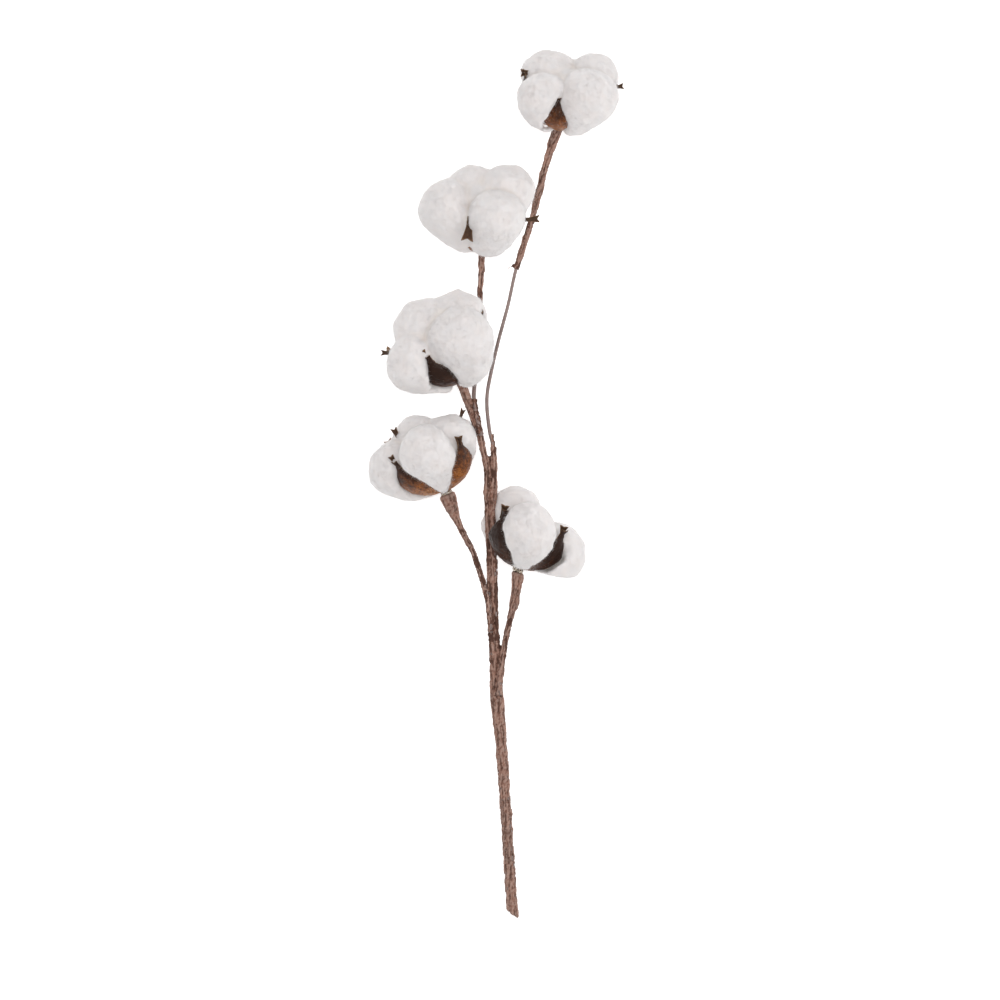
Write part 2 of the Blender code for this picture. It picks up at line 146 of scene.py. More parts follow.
# The end of the tape drawn up over the glue: which points, where it starts, over what, how far
STRETCH_WITHIN, STRETCH_FROM, STRETCH_OVER, STRETCH_BY = 11 * MM, 8 * MM, 6.5 * MM, 2.6 * MM

WIRE_RADIUS = 0.0013
WIRE_TAPER = 0.3
WIRE_UNEVENNESS = 0.07
WIRE_SIDES = 16

GLUE_VOXEL = 0.0003
GLUE_ROUNDING = 5
GLUE_SUNK = 0.8 * MM  # under tape

# Beaks that show past the lint: boll, neck and end in millimetres from the boll's glue, end width
BEAKS = (
    (1, (-15.0, 31.4, 16.5), (-22.0, 31.2, 18.0), 4.8),
    (1, (30.6, 23.0, 14.0), (36.8, 23.8, 15.0), 3.8),
    (2, (-6.6, 16.5, 29.5), (-8.6, 2.6, 36.0), 7.0),
    (2, (22.0, 15.0, 25.0), (32.4, 15.6, 27.0), 4.4),
    (3, (-38.0, 16.4, 17.6), (-45.4, 16.6, 18.6), 3.6),
    (3, (-18.6, 9.0, 25.0), (-22.6, 17.2, 32.0), 5.4),
    (4, (-25.6, 28.0, 4.0), (-30.2, 37.0, 6.0), 4.0),
    (4, (7.0, 40.5, 4.0), (10.0, 48.0, 5.0), 3.2),
    (4, (8.0, 25.0, 17.0), (7.2, 32.4, 22.0), 5.0),
    (4, (-28.0, 16.0, 14.5), (-31.6, 21.0, 18.5), 3.6),
    (5, (-9.4, 30.0, 20.0), (-7.2, 37.6, 26.5), 5.0),
    (5, (24.4, 18.8, 18.5), (26.4, 25.6, 23.5), 5.0),
)
BEAK_ROWS = 14
BEAK_ACROSS = 8
BEAK_PALENESS = 0.15
BEAK_THICKNESS = 0.3 * MM
BEAK_NOTCH = 0.16
TORN_THICKNESS = 0.4 * MM

# Torn ends of the tape: boll, root and point in millimetres from its glue, width at the root
TORN = (
    ("tape_wound_1", 1, (-25.6, -77.6, 2.4), (-29.4, -80.4, 4.4), 3.4),
    ("tape_wound_main", 3, (18.6, -36.0, 9.0), (18.4, -29.0, 9.4), 4.4),
)


# ---- meshes ----


def copy_of(node, name):
    """A new object with a copy of a CAD node's mesh."""
    source = frame["nodes"][node]
    obj = bpy.data.objects.new(name, source.data.copy())
    obj.data.materials.clear()
    bpy.context.scene.collection.objects.link(obj)
    return obj


def new_object(name, mesh):
    obj = bpy.data.objects.new(name, mesh)
    bpy.context.scene.collection.objects.link(obj)
    return obj


def apply_modifiers(obj):
    bpy.context.view_layer.update()
    made = bpy.data.meshes.new_from_object(obj.evaluated_get(bpy.context.evaluated_depsgraph_get()))
    obj.modifiers.clear()
    obj.data = made


def remesh(obj, voxel, rounding, subdivisions=0):
    """Rebuilds obj on a voxel grid, then rounds it."""
    modifier = obj.modifiers.new("remesh", "REMESH")
    modifier.mode = "VOXEL"
    modifier.voxel_size = voxel
    modifier.use_smooth_shade = True
    smooth = obj.modifiers.new("smooth", "SMOOTH")
    smooth.factor = 0.5
    smooth.iterations = rounding
    if subdivisions:
        finer = obj.modifiers.new("finer", "SUBSURF")
        finer.levels = subdivisions
        finer.render_levels = subdivisions
    apply_modifiers(obj)


def points_of(obj):
    flat = np.empty(len(obj.data.vertices) * 3)
    obj.data.vertices.foreach_get("co", flat)
    return flat.reshape(-1, 3)


def normals_of(obj):
    flat = np.empty(len(obj.data.vertices) * 3)
    obj.data.vertices.foreach_get("normal", flat)
    return flat.reshape(-1, 3)


def set_points(obj, points):
    obj.data.vertices.foreach_set("co", points.ravel())
    obj.data.update()


def fractal(points, size, seed, octaves=3):
    """Smooth noise from -1 to 1 at each point, with features about size across."""
    shift = Vector((seed * 7.3, seed * 3.1, seed * 5.7))
    return np.array([noise.fractal(Vector(p) / size + shift, 0.6, 2.0, octaves) for p in points])


def set_attribute(obj, name, values):
    layer = obj.data.attributes.new(name, "FLOAT", "POINT")
    layer.data.foreach_set("value", values)


def hollowness(obj, passes):
    """How far each vertex lies below its surroundings: positive in a crease."""
    points = points_of(obj)
    pairs = np.empty(len(obj.data.edges) * 2, dtype=np.int64)
    obj.data.edges.foreach_get("vertices", pairs)
    a, b = pairs.reshape(-1, 2).T
    count = np.bincount(a, minlength=len(points)) + np.bincount(b, minlength=len(points))
    soft = points.copy()
    for _ in range(passes):
        total = np.zeros_like(soft)
        np.add.at(total, a, soft[b])
        np.add.at(total, b, soft[a])
        soft = 0.5 * soft + 0.5 * total / count[:, None]
    return ((soft - points) * normals_of(obj)).sum(axis=1)


def add_geometry(obj, verts, faces):
    """Joins loose closed shapes to obj's mesh."""
    work = bmesh.new()
    work.from_mesh(obj.data)
    extra = bpy.data.meshes.new("extra")
    extra.from_pydata(verts.tolist(), [], faces.tolist())
    work.from_mesh(extra)
    work.to_mesh(obj.data)
    work.free()
    bpy.data.meshes.remove(extra)
    obj.data.shade_smooth()


# ---- routes read from the frame ----


def centreline(node):
    """The middle line of a wire: the mean of each ring of its mesh, from its foot up."""
    points = points_of(frame["nodes"][node])
    points = np.unique(points.round(7), axis=0)
    points = points[points[:, 1].argsort()]
    rings = np.split(points, np.flatnonzero(np.diff(points[:, 1]) > 1.6 * MM) + 1)
    return np.array([ring.mean(axis=0) for ring in rings])


def smooth_route(points, per_span):
    """A Catmull-Rom curve through the points."""
    ends = np.vstack([2 * points[0] - points[1], points, 2 * points[-1] - points[-2]])
    route = []
    for a, b, c, d in zip(ends, ends[1:], ends[2:], ends[3:]):
        for t in np.arange(per_span) / per_span:
            bend = 2 * a - 5 * b + 4 * c - d
            twist = 3 * b - a - 3 * c + d
            route.append(0.5 * (2 * b + (c - a) * t + bend * t**2 + twist * t**3))
    route.append(points[-1])
    return np.array(route)


def boll_base(number):
    """The middle of the glue bead, and the way from it to the boll's middle."""
    low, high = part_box(f"glue_{number}")
    base = (Vector(low) + Vector(high)) / 2
    middle = Vector(points_of(frame["nodes"][f"bur_{number}"]).mean(axis=0))
    return base, (middle - base).normalized()


def flared_blade(base, neck, end, width, notch, thickness):
    """A curved closed blade from neck to end, forked at its end: (verts, faces)."""
    neck, end = (np.array(base) + np.array(p) * MM for p in (neck, end))
    way = end - neck
    length = np.linalg.norm(way)
    way /= length
    across = np.cross(way, (0, 0, 1))
    across /= np.linalg.norm(across)
    up = np.cross(across, way)
    skins = ([], [])
    for i in range(BEAK_ROWS):
        t = i / (BEAK_ROWS - 1)
        half = width * MM * (0.17 + 0.33 * t**1.9 + 0.10 * (1 - t) ** 2)
        middle = neck + way * length * t + up * length * 0.16 * (t * t - t)
        for j in range(BEAK_ACROSS + 1):
            u = 2 * j / BEAK_ACROSS - 1
            fork = way * notch * length * (abs(u) - 0.6) * max(0.0, t - 0.6) / 0.4
            place = middle + across * half * u + up * half * 0.45 * u * u + fork
            skins[0].append(place + up * thickness * (1 - 0.25 * abs(u)))
            skins[1].append(place - up * thickness * (1 - 0.25 * abs(u)))
    columns = BEAK_ACROSS + 1
    far = len(skins[0])
    faces = []
    for i in range(BEAK_ROWS - 1):
        for j in range(BEAK_ACROSS):
            a = i * columns + j
            faces += [(a, a + 1, a + columns), (a + 1, a + columns + 1, a + columns)]
            faces += [(far + a, far + a + columns, far + a + 1)]
            faces += [(far + a + 1, far + a + columns, far + a + columns + 1)]
    rim = list(range(columns)) + [i * columns + columns - 1 for i in range(1, BEAK_ROWS)]
    rim += [(BEAK_ROWS - 1) * columns + j for j in range(columns - 2, -1, -1)]
    rim += [i * columns for i in range(BEAK_ROWS - 2, 0, -1)]
    for a, b in zip(rim, rim[1:] + rim[:1]):
        faces += [(a, far + b, b), (a, far + a, far + b)]
    return np.array(skins[0] + skins[1]), np.array(faces)


# ---- materials ----


def new_material(name, **sockets):
    material = bpy.data.materials.new(name)
    material.use_nodes = True
    shader = material.node_tree.nodes["Principled BSDF"]
    for socket, value in sockets.items():
        shader.inputs[socket.replace("_", " ")].default_value = value
    return material, material.node_tree, shader


def node(tree, kind, **settings):
    made = tree.nodes.new(kind)
    for name, value in settings.items():
        if hasattr(made, name):
            setattr(made, name, value)
        else:
            made.inputs[name.replace("_", " ")].default_value = value
    return made


def coordinates(tree, stretch=(1, 1, 1)):
    """Object coordinates in millimetres, stretched along the axes."""
    source = node(tree, "ShaderNodeTexCoord")
    mapping = node(tree, "ShaderNodeMapping")
    mapping.inputs["Scale"].default_value = [1000 * s for s in stretch]
    tree.links.new(source.outputs["Object"], mapping.inputs["Vector"])
    return mapping.outputs["Vector"]


def noise_value(tree, where, size, detail=3.0, roughness=0.55, distortion=0.0):
    made = node(tree, "ShaderNodeTexNoise", Scale=1 / size, Detail=detail, Roughness=roughness)
    made.inputs["Distortion"].default_value = distortion
    tree.links.new(where, made.inputs["Vector"])
    return made.outputs["Fac"]


def ramp(tree, value, stops):
    made = node(tree, "ShaderNodeValToRGB")
    band = made.color_ramp
    while len(band.elements) < len(stops):
        band.elements.new(0.5)
    for element, (place, colour) in zip(band.elements, stops):
        element.position = place
        element.color = (*colour, 1)
    tree.links.new(value, made.inputs["Fac"])
    return made.outputs["Color"]


def grey(value):
    return (value, value, value)


def mix(tree, share, first, second, blend="MIX"):
    """Mixes two colours. share is a socket or a number."""
    made = node(tree, "ShaderNodeMix", data_type="RGBA", blend_type=blend)
    slots = [s for s in made.inputs if s.enabled]
    factor, a, b = slots[0], slots[1], slots[2]
    for socket, value in ((factor, share), (a, first), (b, second)):
        if isinstance(value, bpy.types.NodeSocket):
            tree.links.new(value, socket)
        elif socket is factor:
            socket.default_value = value
        else:
            socket.default_value = (*value, 1)
    return next(s for s in made.outputs if s.enabled)


def attribute(tree, name):
    return node(tree, "ShaderNodeAttribute", attribute_name=name).outputs["Fac"]


def share_of(tree, name, most):
    """An attribute scaled so that it is at most this."""
    return ramp(tree, attribute(tree, name), [(0.0, grey(0)), (1.0, grey(most))])


def bump(tree, shader, heights):
    """Chains bumps of (height socket, strength, distance in metres) into the shader's normal."""
    before = None
    for height, strength, distance in heights:
        made = node(tree, "ShaderNodeBump", Strength=strength, Distance=distance)
        tree.links.new(height, made.inputs["Height"])
        if before:
            tree.links.new(before, made.inputs["Normal"])
        before = made.outputs["Normal"]
    tree.links.new(before, shader.inputs["Normal"])


def lint_material():
    material, tree, shader = new_material(
        "lint",
        Roughness=0.95,
        Specular_IOR_Level=0.1,
        Subsurface_Weight=0.5,
        Subsurface_Radius=(1.0, 0.95, 0.9),
        Subsurface_Scale=0.005,
        Sheen_Weight=0.3,
        Sheen_Roughness=0.6,
    )
    where = coordinates(tree)
    clouds = noise_value(tree, where, 7.0)
    patches = ramp(tree, clouds, [(0.35, (0.762, 0.722, 0.709)), (0.65, (0.748, 0.722, 0.718))])
    # Painted shade: a warm tint painted into the creases between the locks, where shade and bounced light
    # fall
    painted_crease_shade = ramp(tree, attribute(tree, "crease"), [(0.0, grey(0)), (1.0, grey(0.8))])
    colour = mix(tree, painted_crease_shade, patches, (0.80, 0.71, 0.62))
    tree.links.new(colour, shader.inputs["Base Color"])
    strands = noise_value(tree, coordinates(tree, (1, 0.3, 1)), 0.45, detail=4, distortion=1.5)
    matted = noise_value(tree, where, 2.0, detail=4, roughness=0.6, distortion=0.8)
    bump(tree, shader, [(matted, 0.14, 0.0004), (strands, 0.3, 0.0001)])
    return material


def bur_material():
    material, tree, shader = new_material(
        "bur", Specular_IOR_Level=0.10, Coat_Weight=0.06, Coat_Roughness=0.12
    )
    where = coordinates(tree)
    freckles = noise_value(tree, where, 0.9, detail=5, roughness=0.72)
    patches = noise_value(tree, where, 4.5, detail=3)
    shifted = node(tree, "ShaderNodeMath", operation="MULTIPLY_ADD")
    tree.links.new(patches, shifted.inputs[0])
    shifted.inputs[1].default_value = 0.8
    shifted.inputs[2].default_value = -0.4
    along = node(tree, "ShaderNodeMath", operation="ADD")
    tree.links.new(attribute(tree, "reach"), along.inputs[0])
    tree.links.new(shifted.outputs[0], along.inputs[1])
    ground = ramp(
        tree,
        along.outputs[0],
        [
            (0.05, (0.44, 0.165, 0.040)),
            (0.34, (0.25, 0.082, 0.024)),
            (0.62, (0.068, 0.025, 0.012)),
            (0.9, (0.027, 0.012, 0.008)),
        ],
    )
    spots = ramp(tree, freckles, [(0.47, grey(0)), (0.6, grey(0.9))])
    outside = mix(tree, spots, ground, (0.024, 0.012, 0.008))
    lining = noise_value(tree, where, 2.2, detail=4)
    husk = ramp(tree, lining, [(0.3, (0.42, 0.27, 0.16)), (0.7, (0.20, 0.11, 0.06))])
    colour = mix(tree, share_of(tree, "inner", 0.8), outside, husk)
    # Painted highlight: the crests of the wrinkles and the rims of the valves made lighter
    colour = mix(tree, share_of(tree, "ridge_highlight", 0.45), colour, (0.36, 0.22, 0.13))
    tree.links.new(colour, shader.inputs["Base Color"])
    rough = ramp(tree, freckles, [(0.3, grey(0.28)), (0.7, grey(0.55))])
    tree.links.new(rough, shader.inputs["Roughness"])
    bump(tree, shader, [(patches, 0.3, 0.0008), (freckles, 0.6, 0.0003)])
    return material


def tape_material():
    material, tree, shader = new_material("paper_tape", Roughness=0.7, Specular_IOR_Level=0.16)
    where = coordinates(tree)
    fine = noise_value(tree, where, 0.4, detail=5, roughness=0.75)
    crinkle = noise_value(tree, where, 1.3, detail=5, roughness=0.65, distortion=1.2)
    patches = noise_value(tree, where, 7.0, detail=3)
    browns = [
        (0.25, (0.205, 0.100, 0.070)),
        (0.5, (0.262, 0.136, 0.098)),
        (0.78, (0.325, 0.182, 0.137)),
    ]
    base = ramp(tree, patches, browns)
    # Painted shade and highlight along the folds: darker where a fold lies low, lighter where it stands
    # high
    folds = ramp(tree, attribute(tree, "fold_shading"), [(0.25, grey(0.55)), (0.5, grey(1.0)), (0.8, grey(1.18))])
    base = mix(tree, 0.9, base, folds, "MULTIPLY")
    # Painted highlight: the tape's ridges made lighter
    base = mix(tree, share_of(tree, "ridge_highlight", 0.45), base, (0.50, 0.37, 0.32))
    # Painted shade: the tape's hollows and the seams between its strands made dark
    base = mix(tree, share_of(tree, "hollow_shade", 0.75), base, (0.060, 0.026, 0.018))
    # Painted shade in the crinkles' hollows: the same noise that bumps the surface darkens it where it
    # dips
    crinkle_shade = ramp(tree, crinkle, [(0.3, grey(0.62)), (0.55, grey(1.0))])
    base = mix(tree, 0.8, base, crinkle_shade, "MULTIPLY")
    tree.links.new(base, shader.inputs["Base Color"])
    bump(tree, shader, [(crinkle, 0.6, 0.0006), (fine, 0.4, 0.0002)])
    return material


def wire_material():
    material, tree, shader = new_material("wire_coat", Roughness=0.5, Specular_IOR_Level=0.4)
    where = coordinates(tree)
    patches = noise_value(tree, where, 3.0, detail=4)
    streaks = noise_value(tree, coordinates(tree, (1, 0.12, 1)), 0.4, detail=3)
    base = ramp(tree, patches, [(0.3, (0.21, 0.15, 0.135)), (0.7, (0.29, 0.215, 0.195))])
    shade = ramp(tree, streaks, [(0.3, grey(0.75)), (0.7, grey(1.0))])
    tree.links.new(mix(tree, 0.8, base, shade, "MULTIPLY"), shader.inputs["Base Color"])
    bump(tree, shader, [(streaks, 0.4, 0.0002), (patches, 0.3, 0.0004)])
    return material


def glue_material():
    material, tree, shader = new_material(
        "hot_glue", IOR=1.48, Transmission_Weight=0.75, Specular_IOR_Level=0.6, Coat_Weight=0.3
    )
    where = coordinates(tree)
    clouds = noise_value(tree, where, 1.5, detail=3)
    tint = ramp(tree, clouds, [(0.3, (0.93, 0.88, 0.78)), (0.7, (0.85, 0.74, 0.58))])
    tree.links.new(tint, shader.inputs["Base Color"])
    rough = ramp(tree, clouds, [(0.3, grey(0.06)), (0.7, grey(0.22))])
    tree.links.new(rough, shader.inputs["Roughness"])
    bump(tree, shader, [(clouds, 0.5, 0.0008)])
    return material


def floor_material():
    material, tree, shader = new_material("floor", Roughness=0.9, Specular_IOR_Level=0.1)
    where = coordinates(tree)
    grain = noise_value(tree, where, 30.0, detail=2)
    tint = ramp(tree, grain, [(0.3, grey(0.90)), (0.7, grey(0.91))])
    tree.links.new(tint, shader.inputs["Base Color"])
    shader.inputs["Emission Color"].default_value = (1, 1, 1, 1)
    shader.inputs["Emission Strength"].default_value = FLOOR_GLOW
    return material


# ---- pieces ----


def fibres(obj, seed, count, radius, shortest, longest, rise):
    """Fine three-sided hairs that lie tangled on the surface: (verts, faces)."""
    rng = np.random.default_rng(seed)
    obj.data.calc_loop_triangles()
    tris = np.empty(len(obj.data.loop_triangles) * 3, dtype=np.int64)
    obj.data.loop_triangles.foreach_get("vertices", tris)
    tris = tris.reshape(-1, 3)
    points, normals = points_of(obj), normals_of(obj)
    a, b, c = (points[tris[:, k]] for k in range(3))
    areas = np.linalg.norm(np.cross(b - a, c - a), axis=1)
    picked = rng.choice(len(tris), count, p=areas / areas.sum())
    weights = rng.dirichlet((1, 1, 1), count)
    roots = (weights[:, :, None] * points[tris[picked]]).sum(axis=1)
    normal = (weights[:, :, None] * normals[tris[picked]]).sum(axis=1)
    normal /= np.linalg.norm(normal, axis=1)[:, None]
    flow = np.array([noise.noise_vector(Vector(root) / HAIR_FLOW) for root in roots])
    wander = np.cross(normal, flow + rng.normal(size=(count, 3)) * HAIR_TANGLE)
    wander /= np.linalg.norm(wander, axis=1)[:, None]
    side = np.cross(normal, wander)
    lift = rng.beta(rise, HAIR_LYING, count)[:, None]
    length = rng.uniform(shortest, longest, count)[:, None]
    verts = np.empty((count, 4, 3))
    for n in range(3):
        angle = math.tau * n / 3
        ring = (math.cos(angle) * side + math.sin(angle) * normal) * radius
        verts[:, n] = roots - normal * HAIR_SUNK * MM + ring
    verts[:, 3] = roots + length * (wander * (1 - lift) + normal * lift)
    verts[:, :, 2] = np.maximum(verts[:, :, 2], HAIR_CLEARANCE)
    one = np.array([(0, 2, 1), (0, 1, 3), (1, 2, 3), (2, 0, 3)])
    faces = one[None] + 4 * np.arange(count)[:, None, None]
    return verts.reshape(-1, 3), faces.reshape(-1, 3)


def from_axis(points, number):
    """Each point's height up the boll's axis, direction out from it, and distance from it."""
    base, axis = (np.array(v) for v in boll_base(number))
    offset = points - base
    height = offset @ axis
    radial = offset - np.outer(height, axis)
    far = np.linalg.norm(radial, axis=1) + 1e-9
    return height, radial / far[:, None], far


def pressed_by_bur(obj, points, number):
    """The lint pushed in towards the boll's axis where a valve lies under it."""
    bur = frame["nodes"][f"bur_{number}"].data
    centres = np.array([face.center for face in bur.polygons])
    facing = np.array([face.normal for face in bur.polygons])
    out = (facing * from_axis(centres, number)[1]).sum(axis=1)
    outer = [tuple(face.vertices) for face, way in zip(bur.polygons, out) if way > OUTWARD]
    tree = BVHTree.FromPolygons([tuple(v.co) for v in bur.vertices], outer)
    _, radial, far = from_axis(points, number)
    depth = np.zeros(len(points))
    for i, (point, way) in enumerate(zip(points, radial)):
        place, _, _, distance = tree.ray_cast(Vector(point), Vector(-way), PRESSED[number])
        if place is not None:
            depth[i] = max(0.0, distance - HUSK_SWELL[number] + PRESS_DEPTH)
    ends = np.empty(2 * len(obj.data.edges), dtype=np.int64)
    obj.data.edges.foreach_get("vertices", ends)
    ends = ends.reshape(-1, 2)
    for _ in range(PRESS_PASSES):
        spread = np.zeros(len(points))
        np.maximum.at(spread, ends[:, 0], depth[ends[:, 1]])
        np.maximum.at(spread, ends[:, 1], depth[ends[:, 0]])
        depth = np.maximum(depth, PRESS_SPREAD * spread)
    return points - radial * np.minimum(depth, PRESS_MOST * far)[:, None]


def cotton(number, material):
    """A boll's lint: soft locks covered with fine tangled hairs."""
    obj = copy_of(f"lint_{number}", f"cotton_{number}")
    remesh(obj, LINT_VOXEL, LINT_ROUNDING, 1)
    # The crease mask: where the lint's material paints a warm shade into the hollows between the locks
    crease = np.clip(hollowness(obj, CREASE_PASSES) / CREASE_DEPTH, 0, 1)
    points, normals = points_of(obj), normals_of(obj)
    tufts = sum(fractal(points, size * MM, number + shift) * height * MM for size, height, shift in TUFTS)
    floor = np.clip(points[:, 2] / (2 * MM), 0, 1)
    moved = points + normals * ((LINT_SWELL + tufts) * floor)[:, None]
    if number in PRESSED:
        moved = pressed_by_bur(obj, moved, number)
    if number in BLUNTED:
        short = np.maximum(BLUNTED[number] - from_axis(moved, number)[0], 0)
        moved += np.outer(BLUNTING * short, boll_base(number)[1])
    moved[:, 2] = np.maximum(moved[:, 2], 0)
    set_points(obj, moved)
    set_attribute(obj, "crease", crease)
    hairs = [fibres(obj, number, *kind) for kind in HAIRS]
    for verts, faces in hairs:
        add_geometry(obj, verts, faces)
    obj.data.materials.append(material)
    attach(obj, "root")
    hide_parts(f"lint_{number}")


def husk(number, material):
    """A bur: its valves wrinkled and pitted, and the beaks that show past the lint."""
    obj = copy_of(f"bur_{number}", f"husk_{number}")
    remesh(obj, BUR_VOXEL, BUR_ROUNDING)
    points = points_of(obj)
    own = len(points)
    _, radial, far = from_axis(points, number)
    swell = HUSK_SWELL[number] * np.clip((far - BUR_SWELL_FROM) / BUR_SWELL_OVER, 0, 1)
    set_points(obj, points + radial * swell[:, None])
    for boll, neck, end, width in BEAKS:
        if boll == number:
            blade = flared_blade(boll_base(number)[0], neck, end, width, BEAK_NOTCH, BEAK_THICKNESS)
            add_geometry(obj, *blade)
    points, normals = points_of(obj), normals_of(obj)
    height, radial, _ = from_axis(points, number)
    facing = (radial * normals).sum(axis=1) - normals @ np.array(boll_base(number)[1]) * 0.5
    wrinkles = fractal(points, WRINKLE_SIZE, number, 4) * WRINKLE_HEIGHT * MM
    pits = fractal(points, PIT_SIZE, number + 4, 2) * PIT_HEIGHT * MM
    set_points(obj, points + normals * (wrinkles + pits)[:, None])
    reach = height / BUR_REACH + (DARKER_BY if number in DARK_BURS else 0.0)
    set_attribute(obj, "reach", np.clip(reach, 0, 1))
    inner = np.clip(0.5 - facing * 2.5, 0, 1)
    inner[own:] = BEAK_PALENESS
    set_attribute(obj, "inner", inner)
    # Mask for the painted highlight on the wrinkle crests and valve rims
    set_attribute(obj, "ridge_highlight", np.clip(-hollowness(obj, 5) / (0.2 * MM) - 0.5, 0, 1))
    obj.data.shade_smooth()
    obj.data.materials.append(material)
    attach(obj, "root")
    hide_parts(f"bur_{number}")


def nearest_on_routes(points, routes):
    """For each point: the length along the nearest route, and the direction round it."""
    best = np.full(len(points), np.inf)
    length = np.zeros(len(points))
    turn = np.zeros(len(points))
    for route in routes:
        steps = np.linalg.norm(np.diff(route, axis=0), axis=1)
        sofar = np.concatenate([[0], np.cumsum(steps)])
        ahead = np.gradient(route, axis=0)
        ahead /= np.linalg.norm(ahead, axis=1)[:, None]
        for i, (centre, way) in enumerate(zip(route, ahead)):
            offset = points - centre
            distance = (offset**2).sum(axis=1)
            nearer = distance < best
            if not nearer.any():
                continue
            best[nearer] = distance[nearer]
            side = np.cross(way, (0, 0, 1))
            side /= np.linalg.norm(side)
            up = np.cross(side, way)
            near = offset[nearer]
            length[nearer] = sofar[i] + near @ way
            turn[nearer] = np.arctan2(near @ up, near @ side)
    return length, turn


def stretched_to_bur(points, number):
    """The tape's end drawn over the glue, up to the bur."""
    base, axis = (np.array(v) for v in boll_base(number))
    offset = points - base
    along = offset @ axis
    near = np.linalg.norm(offset, axis=1) < STRETCH_WITHIN
    share = np.clip((along + STRETCH_FROM) / STRETCH_OVER, 0, 1)
    return points + np.outer(np.where(near, STRETCH_BY * share, 0), axis)


def tape_relief(points, length, turn, seed):
    """Folds along the tape, and the height of its whole surface, in millimetres."""
    lengthways = np.column_stack([np.cos(turn), np.sin(turn), length / (15 * MM)])
    folds = fractal(lengthways, 0.62, seed, 4)
    swells = fractal(np.column_stack([0 * length, 0 * length, length]), 9 * MM, seed + 5, 2)
    warp = fractal(points, 16 * MM, seed, 2)
    phase = (length / TAPE_PITCH + turn / math.tau + 1.1 * warp) % 1.0
    step = np.clip(phase / 0.04, 0, 1) * (1 - phase) ** 2
    rough = fractal(points, 2.6 * MM, seed + 2, 4)
    slim = TAPE_SLIMMED * np.clip((points[:, 1] + SLIM_FROM) / SLIM_OVER, 0, 1)
    height = FOLD_HEIGHT * folds + SWELL_HEIGHT * swells + STEP_HEIGHT * step
    height += CRINKLE_HEIGHT * rough - slim
    for number, (thicker, reach) in TAPE_FLARES.items():
        away = np.linalg.norm(points - np.array(boll_base(number)[0]), axis=1)
        height += thicker * np.clip(FLARE_STEEPNESS - FLARE_STEEPNESS * away / (reach * MM), 0, 1)
    return folds, height


def wound_tape(name, cad_node, routes, bolls, material, seed):
    """Paper tape wound round its wires: loose turns, folds along the wires and a crinkled surface."""
    obj = copy_of(cad_node, name)
    for piece, boll, root, point, width in TORN:
        if piece == name:
            blade = flared_blade(boll_base(boll)[0], point, root, width, 0.0, TORN_THICKNESS)
            add_geometry(obj, *blade)
    remesh(obj, TAPE_VOXEL, TAPE_ROUNDING)
    points = points_of(obj)
    for number in bolls:
        points = stretched_to_bur(points, number)
    set_points(obj, points)
    normals = normals_of(obj)
    length, turn = nearest_on_routes(points, routes)
    folds, height = tape_relief(points, length, turn, seed)
    floor = np.clip(points[:, 2] / (1.5 * MM), 0, 1)
    moved = points + normals * (height * floor * MM)[:, None]
    moved[:, 2] = np.maximum(moved[:, 2], 0)
    set_points(obj, moved)
    # Painted light on the tape: a painted shade in its hollows, a painted highlight on its ridges, and
    # along the folds a painted shade in the low ones and a painted highlight on the high ones
    hollow = hollowness(obj, 6) / PIT_DEPTH
    set_attribute(obj, "hollow_shade", np.clip(hollow, 0, 1))
    set_attribute(obj, "ridge_highlight", np.clip(-hollow, 0, 1))
    set_attribute(obj, "fold_shading", np.clip(0.5 + folds, 0, 1))
    obj.data.shade_smooth()
    obj.data.materials.append(material)
    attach(obj, "root")
    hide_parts(cad_node)


def wire(number, material):
    """A coated wire, round and a little uneven."""
    route = smooth_route(centreline(f"wire_{number}"), 6)
    ahead = np.gradient(route, axis=0)
    ahead /= np.linalg.norm(ahead, axis=1)[:, None]
    verts, faces = [], []
    for i, (centre, way) in enumerate(zip(route, ahead)):
        side = np.cross(way, (0, 0, 1))
        side /= np.linalg.norm(side)
        up = np.cross(side, way)
        bumps = 1 + WIRE_UNEVENNESS * noise.noise(Vector(centre) / (5 * MM))
        uneven = (1 - WIRE_TAPER * i / len(route)) * bumps
        for n in range(WIRE_SIDES):
            angle = math.tau * n / WIRE_SIDES
            verts.append(centre + WIRE_RADIUS * uneven * (math.cos(angle) * side + math.sin(angle) * up))
    for i in range(len(route) - 1):
        for n in range(WIRE_SIDES):
            a, b = i * WIRE_SIDES + n, i * WIRE_SIDES + (n + 1) % WIRE_SIDES
            faces.append((a, a + WIRE_SIDES, b + WIRE_SIDES, b))
    faces.append(tuple(range(WIRE_SIDES)))
    faces.append(tuple(reversed(range(len(verts) - WIRE_SIDES, len(verts)))))
    mesh = bpy.data.meshes.new(f"coated_wire_{number}")
    mesh.from_pydata([tuple(v) for v in verts], [], faces)
    obj = new_object(f"coated_wire_{number}", mesh)
    mesh.shade_smooth()
    mesh.materials.append(material)
    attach(obj, "root")
    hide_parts(f"wire_{number}")


def glue_bead(number, material):
    """A lumpy bead of clear glue, smaller where tape covers it."""
    obj = copy_of(f"glue_{number}", f"glue_bead_{number}")
    remesh(obj, GLUE_VOXEL, GLUE_ROUNDING)
    points, normals = points_of(obj), normals_of(obj)
    lumps = fractal(points, 2.4 * MM, number + 3, 3) * 0.5 * MM
    if number in TAPED_TO_BUR:
        lumps -= GLUE_SUNK
    set_points(obj, points + normals * lumps[:, None])
    obj.data.shade_smooth()
    obj.data.materials.append(material)
    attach(obj, "root")
    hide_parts(f"glue_{number}")


# ---- stage ----


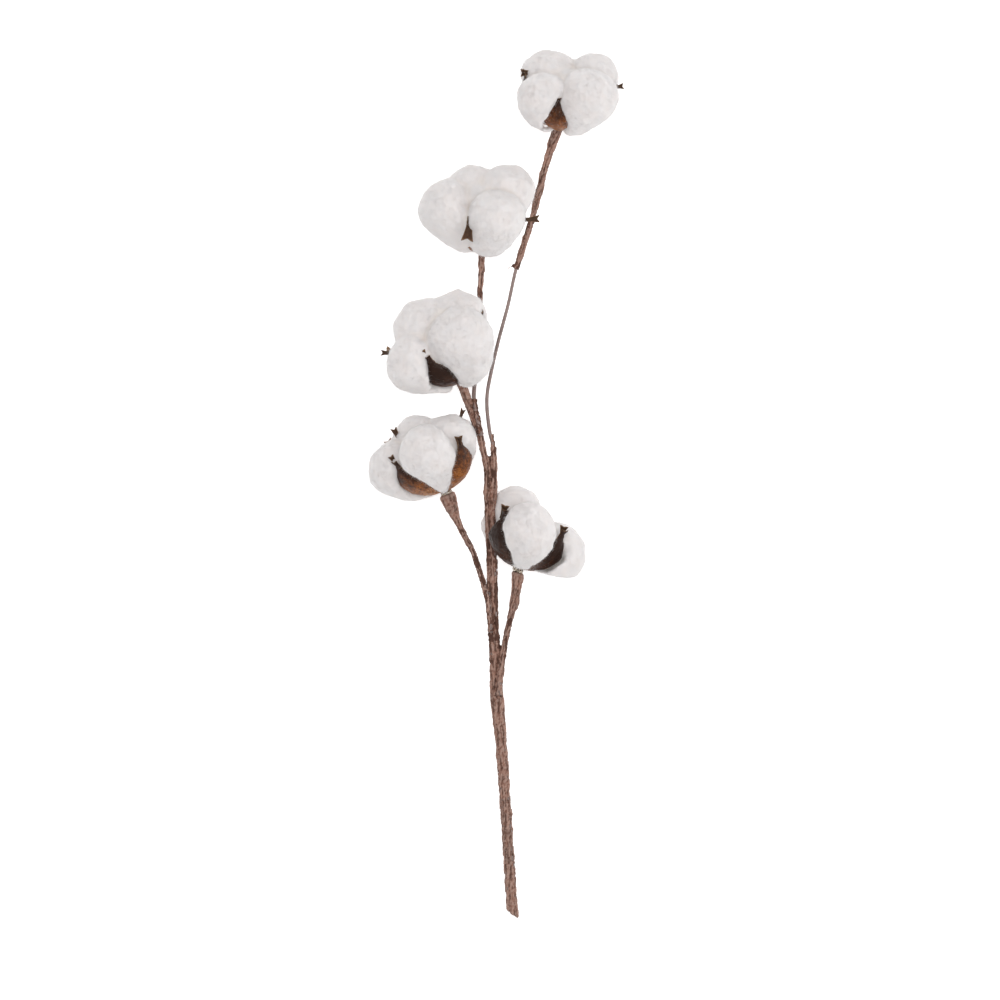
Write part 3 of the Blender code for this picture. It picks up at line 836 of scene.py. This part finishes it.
def floor():
    mesh = bpy.data.meshes.new("floor")
    half = FLOOR_HALF
    corners = [(-half, -half, 0), (half, -half, 0), (half, half, 0), (-half, half, 0)]
    mesh.from_pydata(corners, [], [(0, 1, 2, 3)])
    obj = new_object("floor", mesh)
    obj.location.z = -FLOOR_DROP
    mesh.materials.append(floor_material())


def area_light(name, place, size, watts, target):
    light = bpy.data.lights.new(name, "AREA")
    light.shape = "SQUARE"
    light.size = size
    light.energy = watts
    obj = bpy.data.objects.new(name, light)
    bpy.context.scene.collection.objects.link(obj)
    obj.location = place
    obj.rotation_euler = (target - obj.location).to_track_quat("-Z", "Y").to_euler()


def camera(middle):
    data = bpy.data.cameras.new("camera")
    data.lens = LENS_MM
    data.sensor_width = SENSOR_MM
    data.clip_end = 20
    obj = bpy.data.objects.new("camera", data)
    bpy.context.scene.collection.objects.link(obj)
    distance = VIEW_WIDTH * LENS_MM / SENSOR_MM
    obj.location = Vector((middle.x, middle.y, FOCUS_HEIGHT + distance)) + VIEW_SHIFT
    bpy.context.scene.camera = obj


def world():
    made = bpy.data.worlds.new("world")
    bpy.context.scene.world = made
    made.use_nodes = True
    sky = made.node_tree.nodes["Background"]
    sky.inputs["Color"].default_value = (1, 1, 1, 1)
    sky.inputs["Strength"].default_value = SKY_STRENGTH


def stage(middle):
    floor()
    world()
    camera(middle)
    for name, place, side, watts in LIGHTS:
        area_light(name, place, side, watts, middle)
    scene = bpy.context.scene
    scene.view_settings.view_transform = "Standard"
    scene.view_settings.look = "None"


def main():
    noise.seed_set(NOISE_SEED)
    middle = (Vector(cad_box[0]) + Vector(cad_box[1])) / 2
    stage(middle)
    lint, brown = lint_material(), bur_material()
    paper, coat, clear = tape_material(), wire_material(), glue_material()
    routes = {n: smooth_route(centreline(f"wire_{n}"), 3) for n in BOLLS}
    for number in BOLLS:
        cotton(number, lint)
        husk(number, brown)
        wire(number, coat)
        glue_bead(number, clear)
    wound_tape("tape_wound_main", "tape_bundle", list(routes.values()), [3], paper, 1)
    wound_tape("tape_wound_1", "tape_1", [routes[1]], [1], paper, 2)
    wound_tape("tape_wound_2", "tape_2", [routes[2]], [2], paper, 3)


main()
